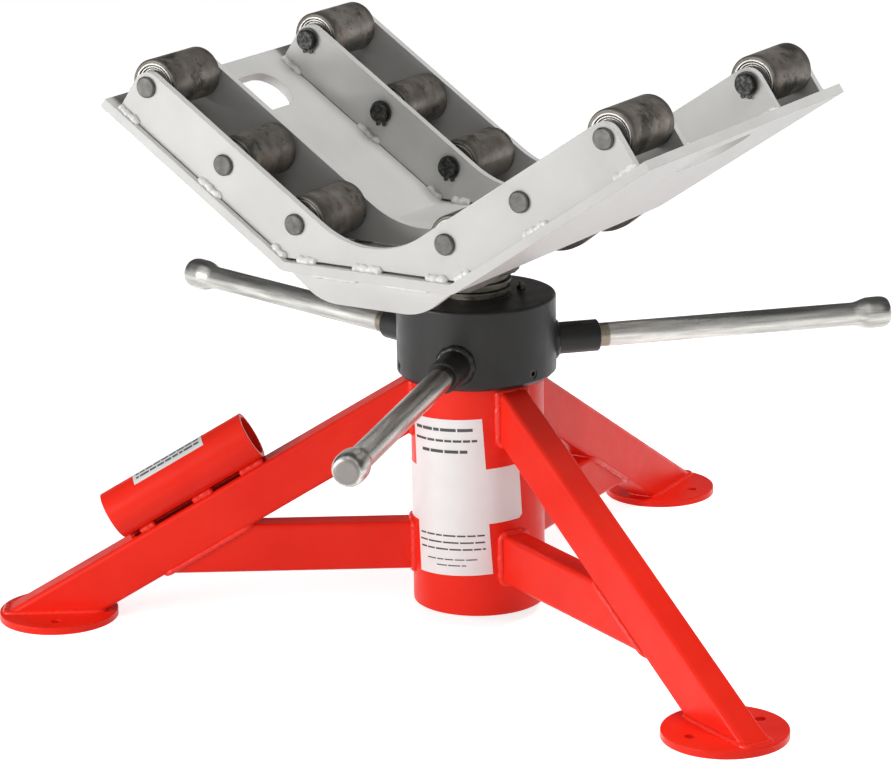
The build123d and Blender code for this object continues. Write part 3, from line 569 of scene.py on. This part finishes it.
def leg_welds(place, azimuth):
    """Beads round a leg's two ends and round both ends of its brace."""
    section = rounded_rectangle(LEG_WIDTH, LEG_DEPTH, LEG_CORNER_R)
    brace_section = rounded_rectangle(BRACE_WIDTH, BRACE_HEIGHT, LEG_CORNER_R)
    top = []
    foot = []
    for across, up in section:
        above = up - LEG_DEPTH / 2
        reach = math.sqrt(TUBE_R ** 2 - across ** 2)
        along = (reach - above * SLOPE_SIN) / SLOPE_COS
        z = TOP_AT_AXIS - along * SLOPE_SIN + above * SLOPE_COS
        top.append(on_tube(azimuth, TUBE_R, across, min(z, COLLAR_CLEAR_Z - LEG_BEAD_R)))
        along = (TOP_AT_AXIS + above * SLOPE_COS - FOOT_THICKNESS) / SLOPE_SIN
        foot.append(leg_point(azimuth, along, above, across))
    root = []
    joint = []
    mid_z = BRACE_BOTTOM_Z + BRACE_HEIGHT / 2
    for across, up in brace_section:
        root.append(on_tube(azimuth, TUBE_R, across, mid_z + up))
        reach = (TOP_AT_AXIS - LEG_DEPTH / SLOPE_COS - mid_z - up) / SLOPE_TAN
        joint.append(radial(azimuth) * reach + sideways(azimuth) * across + Vector((0, 0, mid_z + up)))
    weld(f"weld_leg_tube_{place}", [top], LEG_BEAD_R, weld_red, "base", True, 11)
    weld(f"weld_leg_foot_{place}", [foot], FOOT_BEAD_R, weld_red, "base", True, 12, 0.03)
    weld(f"weld_brace_tube_{place}", [root], LEG_BEAD_R, weld_red, "base", True, 13)
    weld(f"weld_brace_leg_{place}", [joint], BRACE_BEAD_R, weld_red, "base", True, 14, 0.03)


def boss_weld(place, azimuth):
    """Heavy bead round the root of a handle's boss."""
    ring = []
    for i in range(RING_POINTS):
        turn = 2 * math.pi * i / RING_POINTS
        ring.append(on_tube(azimuth, COLLAR_R, BOSS_R * math.cos(turn), HANDLE_Z + BOSS_R * math.sin(turn)))
    weld(f"weld_boss_{place}", [ring], BOSS_BEAD_R, boss_black, "collar", True, 21, 0.05)


RING_POINTS = 48
SOCKET_STITCHES = ((0.262, 0.292), (0.325, 0.351), (0.397, 0.416))
SOCKET_STITCH_ASIDE = 0.0105
SOCKET_STITCH_ABOVE = 0.0025
SOCKET_GAP_R = 0.0013
SOCKET_GAP_ABOVE = 0.0016
SOCKET_GAP_ASIDE = 0.0102
SOCKET_GAP_PAST = 0.008


def socket_welds():
    """Stitches between the socket tube and the leg, and a painted shadow line in the gap between them."""
    paths = []
    for side in SIDES.values():
        for start, end in SOCKET_STITCHES:
            paths.append([leg_point(LEG_AZIMUTHS["left"], along, SOCKET_STITCH_ABOVE, side * SOCKET_STITCH_ASIDE)
                          for along in (start, end)])
    weld("weld_socket", paths, SOCKET_STITCH_R, weld_red, "base", False, 31, 0.05)
    # Painted shadow: a thin dark rod along each gap beside the stitches.
    gap_shadow_paths = [[leg_point(LEG_AZIMUTHS["left"], along, SOCKET_GAP_ABOVE, side * SOCKET_GAP_ASIDE)
             for along in (SOCKET_STITCHES[0][0], SOCKET_STITCHES[-1][1] + SOCKET_GAP_PAST)]
            for side in SIDES.values()]
    weld("gap_shadow_socket", gap_shadow_paths, SOCKET_GAP_R, gap_shadow_red, "base", False, 32)


# Stitch places: stations along a wing from its bend, and places along X on the flat
WING_STITCHES = ((0.219, 0.249), (0.098, 0.131), (0.003, 0.024))
FLAT_STITCHES = ((-0.020, 0.015), (0.066, 0.092), (-0.088, -0.064))
SEAM_END = 0.2465
KEEL_BEAD_HALF = 0.070


def saddle_point(side, station, y, lift):
    """Place on a wing's upper face, raised a little."""
    x, z = wing_point(station, lift)
    return Vector((side * x, y, z))


def saddle_welds():
    """Stitches along both faces of every side plate, and painted shadow lines along the seams between them."""
    for channel, channel_side in CHANNELS.items():
        for position, face_y, outward in (("outer", CHANNEL_OUTER_Y, 1), ("inner", CHANNEL_INNER_Y, -1)):
            y = channel_side * (face_y + outward * STITCH_R * 0.2)
            paths = []
            for side in SIDES.values():
                for start, end in WING_STITCHES:
                    paths.append([saddle_point(side, start, y, STITCH_R * 0.2),
                                  saddle_point(side, end, y, STITCH_R * 0.2)])
            z = SADDLE_Z + STITCH_R * 0.4
            for start, end in FLAT_STITCHES:
                paths.append([Vector((start, y, z)), Vector((end, y, z))])
            weld(f"weld_side_plate_{channel}_{position}", paths, STITCH_R, weld_grey_painted_highlight, "head",
                 False, 41, 0.13)
            # Painted shadow: a thin dark line along the seam where each side plate meets the saddle.
            seam_y = channel_side * (face_y + outward * SEAM_LINE_R * 0.3)
            seam_shadow_lines = [[saddle_point(side, 0.0, seam_y, 0.0), saddle_point(side, SEAM_END, seam_y, 0.0)]
                     for side in SIDES.values()]
            weld(f"seam_side_plate_{channel}_{position}", seam_shadow_lines, SEAM_LINE_R, seam_shadow, "head",
                 False, 42)


def underside_welds():
    """Beads under the saddle: along the keel gussets, round the socket block and round the screw."""
    underside = SADDLE_Z - SADDLE_THICKNESS
    paths = []
    for y in (CHANNEL_OUTER_Y, CHANNEL_INNER_Y + SIDE_PLATE_THICKNESS):
        for face_y in (y, y - SIDE_PLATE_THICKNESS):
            for channel_side in CHANNELS.values():
                for side in SIDES.values():
                    start = side * KEEL_BEAD_HALF / 5
                    paths.append([Vector((start, channel_side * face_y, underside)),
                                  Vector((side * KEEL_BEAD_HALF, channel_side * face_y, underside))])
    weld("weld_keels", paths, STITCH_R, weld_grey_painted_highlight, "head", False, 51)
    block = [Vector((x, y, underside)) for x, y in rounded_rectangle(2 * BLOCK_HALF, 2 * BLOCK_HALF, 0.002)]
    weld("weld_block", [block], BLOCK_BEAD_R, weld_grey_painted_highlight, "head", True, 52)
    ring = []
    for i in range(RING_POINTS):
        turn = 2 * math.pi * i / RING_POINTS
        ring.append(Vector((FLANGE_BEAD_R * math.cos(turn), FLANGE_BEAD_R * math.sin(turn), FLANGE_BEAD_Z)))
    weld("weld_flange", [ring], BLOCK_BEAD_R, dark_brown_steel, "head", True, 53)


FLANGE_BEAD_R = 0.0425
FLANGE_BEAD_Z = FLANGE_BOTTOM_Z + 0.0046

# Thread of the lifting screw, right-hand, in steps of (share of the pitch, radius)
THREAD_DEPTH = 0.0036
THREAD_STEPS = ((0.0, 0.0), (0.34, 0.0), (0.48, 1.0), (0.86, 1.0))
THREAD_SEGMENTS = 72
JOURNAL_R = 0.020
JOURNAL_BOTTOM_Z = 0.0594
GUIDE_BOLT_R = 0.008


def thread():
    """Lifting screw with its trapezoidal thread, in place of the plain cylinder."""
    turns = math.ceil((SADDLE_Z - SADDLE_THICKNESS - SCREW_BOTTOM_Z) / THREAD_PITCH) + 2
    top_z = SADDLE_Z - SADDLE_THICKNESS
    rows = turns * len(THREAD_STEPS)
    vertices = []
    for i in range(THREAD_SEGMENTS + 1):
        turn = 2 * math.pi * i / THREAD_SEGMENTS
        for row in range(rows):
            lap, step = divmod(row, len(THREAD_STEPS))
            share, depth = THREAD_STEPS[step]
            z = SCREW_BOTTOM_Z + THREAD_PITCH * (lap - 1 + share + i / THREAD_SEGMENTS)
            radius = SCREW_R - depth * THREAD_DEPTH
            vertices.append(Vector((radius * math.cos(turn), radius * math.sin(turn),
                                    min(max(z, SCREW_BOTTOM_Z), top_z))))
    faces = grid_faces(THREAD_SEGMENTS + 1, rows)
    end = [(SCREW_R, SCREW_BOTTOM_Z), (JOURNAL_R, SCREW_BOTTOM_Z), (JOURNAL_R, JOURNAL_BOTTOM_Z),
           (GUIDE_BOLT_R, JOURNAL_BOTTOM_Z)]
    end_vertices, end_faces = lathe_mesh(end, Vector(), Vector((0, 0, 1)), THREAD_SEGMENTS)
    start = len(vertices)
    faces += [tuple(start + corner for corner in face) for face in end_faces]
    piece = add_piece("lift_screw_thread", vertices + end_vertices, faces, screw_steel, "head",
                      smooth=False)
    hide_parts("lift_screw")


# Bearing in either end of a roller, as (radius, depth from the roller's end, painted dark as shade in the grooves or
# not, as far as the next)
BEARING_PROFILE = ((22.6, 0.10, False), (22.4, -0.15, False), (20.9, -0.15, True), (20.4, 0.2, True),
                   (20.3, 1.8, True), (19.6, 1.8, False), (19.4, 0.3, False), (18.3, 0.3, True), (18.1, 2.1, True),
                   (17.1, 2.1, False), (16.9, 0.9, False), (16.0, 0.9, True), (15.8, 2.2, True),
                   (15.3, 2.2, False), (15.2, 0.8, False), (14.8, 0.8, False), (14.8, 2.9, False))
BEARING_SEGMENTS = 64


def roller_centre(channel_side, side, pin):
    """Middle of a roller."""
    x, z = wing_point(*PIN_PLACES[pin])
    return Vector((side * x, channel_side * (CHANNEL_OUTER_Y + CHANNEL_INNER_Y) / 2, z))


def bearings():
    """Bright end face, bearing rings and grooves between them with painted shade, in both ends of every roller."""
    bands = len(BEARING_PROFILE) - 1
    for channel, channel_side in CHANNELS.items():
        for wing, side in SIDES.items():
            for pin in PIN_PLACES:
                centre = roller_centre(channel_side, side, pin)
                vertices = []
                faces = []
                for end in (-1, 1):
                    profile = [(radius * MM, ROLLER_LENGTH / 2 - depth * MM) for radius, depth, _ in BEARING_PROFILE]
                    more_vertices, more_faces = lathe_mesh(profile, centre, Vector((0, end, 0)), BEARING_SEGMENTS)
                    start = len(vertices)
                    vertices += more_vertices
                    faces += [tuple(start + corner for corner in face) for face in more_faces]
                piece = add_piece(f"bearings_{channel}_{wing}_{pin}", vertices, faces, bearing_steel,
                                  f"roller_{channel}_{wing}_{pin}", smooth=False)
                # Painted shade: the groove bands take the dark steel.
                piece.data.materials.append(groove_shade_steel)
                for i, polygon in enumerate(piece.data.polygons):
                    polygon.material_index = int(BEARING_PROFILE[i % bands][2])


# Bare labels. Sections of the tube's label are (low z, high z, left azimuth, right azimuth)
LABEL_LIFT = 0.00025
LABEL_TILT = 0.065
LABEL_MIDDLE_Z = 0.146
LABEL_CENTRE_AZIMUTH = -88
TUBE_LABEL = ((0.0572, 0.1127, -123.5, -51.5), (0.1127, 0.1728, -156, -20), (0.1728, 0.2280, -123.5, -50.5))
LABEL_CORNER = 0.004
LABEL_COLUMNS = 64
LABEL_ROWS = 16
# Rows of plain bars on it, as (low z, bar height, half width in degrees)
TUBE_BARS = ((0.2150, 0.0034, 31), (0.2035, 0.0026, 32), (0.1915, 0.0034, 23), (0.1000, 0.0018, 32),
             (0.0925, 0.0018, 33), (0.0850, 0.0018, 32), (0.0740, 0.0013, 24), (0.0675, 0.0013, 14))
BAR_GAP = 1.3
BAR_LIFT = 0.00035


def tube_patch(low, high, left, right, corner, lift):
    """Vertices and faces of a patch that lies on the tube, a little tilted."""
    vertices = []
    for i in range(LABEL_COLUMNS + 1):
        for j in range(LABEL_ROWS + 1):
            z = low + (high - low) * j / LABEL_ROWS
            short = corner - min(z - low, high - z, corner)
            inset = math.degrees((corner - math.sqrt(corner ** 2 - short ** 2)) / TUBE_R) if corner else 0.0
            start = left + inset
            azimuth = start + (right - inset - start) * i / LABEL_COLUMNS
            across = TUBE_R * math.radians(azimuth - LABEL_CENTRE_AZIMUTH)
            tilted = azimuth - math.degrees((z - LABEL_MIDDLE_Z) * LABEL_TILT / TUBE_R)
            vertices.append(radial(tilted) * (TUBE_R + lift) + Vector((0, 0, z + across * LABEL_TILT)))
    return vertices, grid_faces(LABEL_COLUMNS + 1, LABEL_ROWS + 1)


def tube_label():
    """White label on the central tube: a wide band with a panel above and below, and rows of plain bars."""
    vertices = []
    faces = []
    for low, high, left, right in TUBE_LABEL:
        corner = LABEL_CORNER if right - left > 90 else 0.0
        more_vertices, more_faces = tube_patch(low, high, left, right, corner, LABEL_LIFT)
        start = len(vertices)
        vertices += more_vertices
        faces += [tuple(start + c for c in face) for face in more_faces]
    add_piece("tube_label", vertices, faces, label_white, "base")
    vertices = []
    faces = []
    chance = random.Random(71)
    for z, height, half in TUBE_BARS:
        left = LABEL_CENTRE_AZIMUTH - half
        while left < LABEL_CENTRE_AZIMUTH + half - BAR_GAP:
            right = min(left + chance.uniform(6, 15), LABEL_CENTRE_AZIMUTH + half)
            more_vertices, more_faces = tube_patch(z, z + height, left, right, 0.0, BAR_LIFT)
            start = len(vertices)
            vertices += more_vertices
            faces += [tuple(start + c for c in face) for face in more_faces]
            left = right + BAR_GAP
    add_piece("tube_label_bars", vertices, faces, label_ink, "base")


# Strip on the socket tube: from and to along the leg, and degrees from its top towards the camera's side
SOCKET_LABEL_ALONG = (0.3065, 0.392)
SOCKET_LABEL_TURN = (-30, 38)
SOCKET_BAR_TURNS = (8.0, 22.0)
SOCKET_BAR_MARGIN = 0.004


def socket_label():
    """Narrow white label along the top of the socket tube."""
    vertices = []
    for i in range(LABEL_COLUMNS + 1):
        turn = math.radians(SOCKET_LABEL_TURN[0] + (SOCKET_LABEL_TURN[1] - SOCKET_LABEL_TURN[0]) * i / LABEL_COLUMNS)
        for j in range(2):
            radius = SOCKET_R + LABEL_LIFT
            vertices.append(leg_point(LEG_AZIMUTHS["left"], SOCKET_LABEL_ALONG[j],
                                      RAIL_HEIGHT + SOCKET_R + radius * math.cos(turn), radius * math.sin(turn)))
    add_piece("socket_label", vertices, grid_faces(LABEL_COLUMNS + 1, 2), label_worn, "base")
    chance = random.Random(73)
    vertices, faces = [], []
    for row in SOCKET_BAR_TURNS:
        place = SOCKET_LABEL_ALONG[0] + SOCKET_BAR_MARGIN
        while place < SOCKET_LABEL_ALONG[1] - SOCKET_BAR_MARGIN:
            end = min(place + chance.uniform(0.004, 0.012), SOCKET_LABEL_ALONG[1] - SOCKET_BAR_MARGIN)
            start = len(vertices)
            for turn in (math.radians(row - 3.0), math.radians(row + 3.0)):
                for along in (place, end):
                    radius = SOCKET_R + LABEL_LIFT + BAR_LIFT
                    vertices.append(leg_point(LEG_AZIMUTHS["left"], along,
                                              RAIL_HEIGHT + SOCKET_R + radius * math.cos(turn),
                                              radius * math.sin(turn)))
            faces.append((start, start + 1, start + 3, start + 2))
            place = end + 0.0016
    add_piece("socket_label_bars", vertices, faces, label_ink, "base")


for place, azimuth in LEG_AZIMUTHS.items():
    leg_welds(place, azimuth)
for place, azimuth in HANDLE_AZIMUTHS.items():
    boss_weld(place, azimuth)
socket_welds()
saddle_welds()
underside_welds()
thread()
bearings()
tube_label()
socket_label()


# Camera

def make_camera():
    """Camera at the photograph's angle, from azimuth, elevation, distance and focal length."""
    aside = Vector((math.cos(CAMERA_AZIMUTH), math.sin(CAMERA_AZIMUTH), 0))
    back = Vector((math.sin(CAMERA_AZIMUTH) * math.cos(CAMERA_ELEVATION),
                   -math.cos(CAMERA_AZIMUTH) * math.cos(CAMERA_ELEVATION), math.sin(CAMERA_ELEVATION)))
    up = back.cross(aside)
    rolled_aside = aside * math.cos(CAMERA_ROLL) + up * math.sin(CAMERA_ROLL)
    rolled_up = up * math.cos(CAMERA_ROLL) - aside * math.sin(CAMERA_ROLL)
    place = aside * TARGET_ASIDE + Vector((0, 0, TARGET_HEIGHT)) + back * CAMERA_DISTANCE
    data = bpy.data.cameras.new("camera")
    data.sensor_width = SENSOR_WIDTH
    data.lens = CAMERA_FOCAL_PIXELS * SENSOR_WIDTH / PHOTO_WIDTH
    camera = bpy.data.objects.new("camera", data)
    turn = Matrix((rolled_aside, rolled_up, back)).transposed().to_4x4()
    camera.matrix_world = Matrix.Translation(place) @ turn
    bpy.context.scene.collection.objects.link(camera)
    bpy.context.scene.camera = camera


# Floor, world and lamps

FLOOR_HALF = 6.0
FLOOR_WHITE = 0.76
HORIZON = (0.32, 0.32, 0.324)
OVERHEAD = (0.16, 0.16, 0.163)
GLOSS_DARK = (0.12, 0.12, 0.122)
GLOSS_BRIGHT = (0.95, 0.95, 0.95)
BRIGHT_WAY = Vector((0.05, -0.90, 0.43))


def seen_by_eye(tree):
    """Socket that is 1 for rays from the camera, from gloss and through glass."""
    path = tree.nodes.new("ShaderNodeLightPath")
    total = path.outputs["Is Camera Ray"]
    for kind in ("Is Glossy Ray", "Is Transmission Ray"):
        greatest = tree.nodes.new("ShaderNodeMath")
        greatest.operation = "MAXIMUM"
        tree.links.new(total, greatest.inputs[0])
        tree.links.new(path.outputs[kind], greatest.inputs[1])
        total = greatest.outputs["Value"]
    return total


def make_floor():
    """Large pale floor that shows white to the camera and in gloss, and keeps the stand's shadow."""
    mesh = bpy.data.meshes.new("floor")
    corners = [(-FLOOR_HALF, -FLOOR_HALF, 0), (FLOOR_HALF, -FLOOR_HALF, 0),
               (FLOOR_HALF, FLOOR_HALF, 0), (-FLOOR_HALF, FLOOR_HALF, 0)]
    mesh.from_pydata(corners, [], [(0, 1, 2, 3)])
    floor = bpy.data.objects.new("floor", mesh)
    bpy.context.scene.collection.objects.link(floor)
    n = Nodes("floor_white")
    n.set(Base_Color=(0.92, 0.92, 0.92, 1), Roughness=0.9)
    n.shader.inputs["Specular IOR Level"].default_value = 0.0
    glow = n.add("ShaderNodeEmission")
    glow.inputs["Color"].default_value = (FLOOR_WHITE, FLOOR_WHITE, FLOOR_WHITE, 1)
    n.link(seen_by_eye(n.tree), glow.inputs["Strength"])
    both = n.add("ShaderNodeAddShader")
    n.link(n.shader.outputs["BSDF"], both.inputs[0])
    n.link(glow.outputs["Emission"], both.inputs[1])
    n.link(both.outputs["Shader"], n.tree.nodes["Material Output"].inputs["Surface"])
    mesh.materials.append(n.material)


def make_world():
    """White to the camera. In gloss, white round the horizon and a bright sheet overhead in front; dimmer as light."""
    world = bpy.data.worlds.new("studio")
    bpy.context.scene.world = world
    world.use_nodes = True
    tree = world.node_tree
    way = tree.nodes.new("ShaderNodeTexCoord").outputs["Generated"]
    split = tree.nodes.new("ShaderNodeSeparateXYZ")
    tree.links.new(way, split.inputs["Vector"])
    facing = tree.nodes.new("ShaderNodeVectorMath")
    facing.operation = "DOT_PRODUCT"
    facing.inputs[1].default_value = BRIGHT_WAY
    tree.links.new(way, facing.inputs[0])

    def sky(factor, start, low, end, high):
        """Colour that goes from low to high over a range of a factor."""
        ramp = tree.nodes.new("ShaderNodeValToRGB")
        for element, position, colour in zip(ramp.color_ramp.elements, (start, end), (low, high)):
            element.position = position
            element.color = (*colour, 1)
        tree.links.new(factor, ramp.inputs["Fac"])
        return ramp.outputs["Color"]

    def mix(factor, below, above, blend="MIX"):
        """Blend of two colours, each a socket or a fixed colour."""
        node = tree.nodes.new("ShaderNodeMixRGB")
        node.blend_type = blend
        for value, name in ((factor, "Fac"), (below, "Color1"), (above, "Color2")):
            if isinstance(value, bpy.types.NodeSocket):
                tree.links.new(value, node.inputs[name])
            else:
                node.inputs[name].default_value = value
        return node.outputs["Color"]

    light = sky(split.outputs["Z"], 0.0, HORIZON, 0.75, OVERHEAD)
    sheet = sky(facing.outputs["Value"], 0.32, GLOSS_DARK, 0.72, GLOSS_BRIGHT)
    horizon = sky(split.outputs["Z"], 0.06, (1, 1, 1), 0.16, (0, 0, 0))
    gloss = mix(1.0, sheet, horizon, "LIGHTEN")
    path = tree.nodes.new("ShaderNodeLightPath")
    to_camera = mix(path.outputs["Is Camera Ray"], gloss, (1, 1, 1, 1))
    shown = mix(seen_by_eye(tree), light, to_camera)
    tree.links.new(shown, tree.nodes["Background"].inputs["Color"])


def make_lamp(name, azimuth, elevation, distance, width, height, power, in_gloss=True):
    """Soft rectangular lamp that faces the middle of the stand, shown in gloss or not."""
    data = bpy.data.lights.new(name, "AREA")
    data.shape = "RECTANGLE"
    data.size = width
    data.size_y = height
    data.energy = power
    lamp = bpy.data.objects.new(name, data)
    lamp.visible_glossy = in_gloss
    direction = radial(azimuth) * math.cos(math.radians(elevation))
    direction.z = math.sin(math.radians(elevation))
    lamp.location = Vector((0, 0, TARGET_HEIGHT)) + direction * distance
    lamp.rotation_euler = direction.to_track_quat("Z", "Y").to_euler()
    bpy.context.scene.collection.objects.link(lamp)


make_camera()
make_floor()
make_world()
make_lamp("front_key", azimuth=-118, elevation=10, distance=2.6, width=1.8, height=0.8, power=40)
make_lamp("right_fill", azimuth=2, elevation=2, distance=3.0, width=1.6, height=0.6, power=5,
          in_gloss=False)
make_lamp("top", azimuth=5, elevation=66, distance=2.8, width=1.6, height=1.2, power=51, in_gloss=False)

bpy.context.scene.view_settings.view_transform = "Standard"
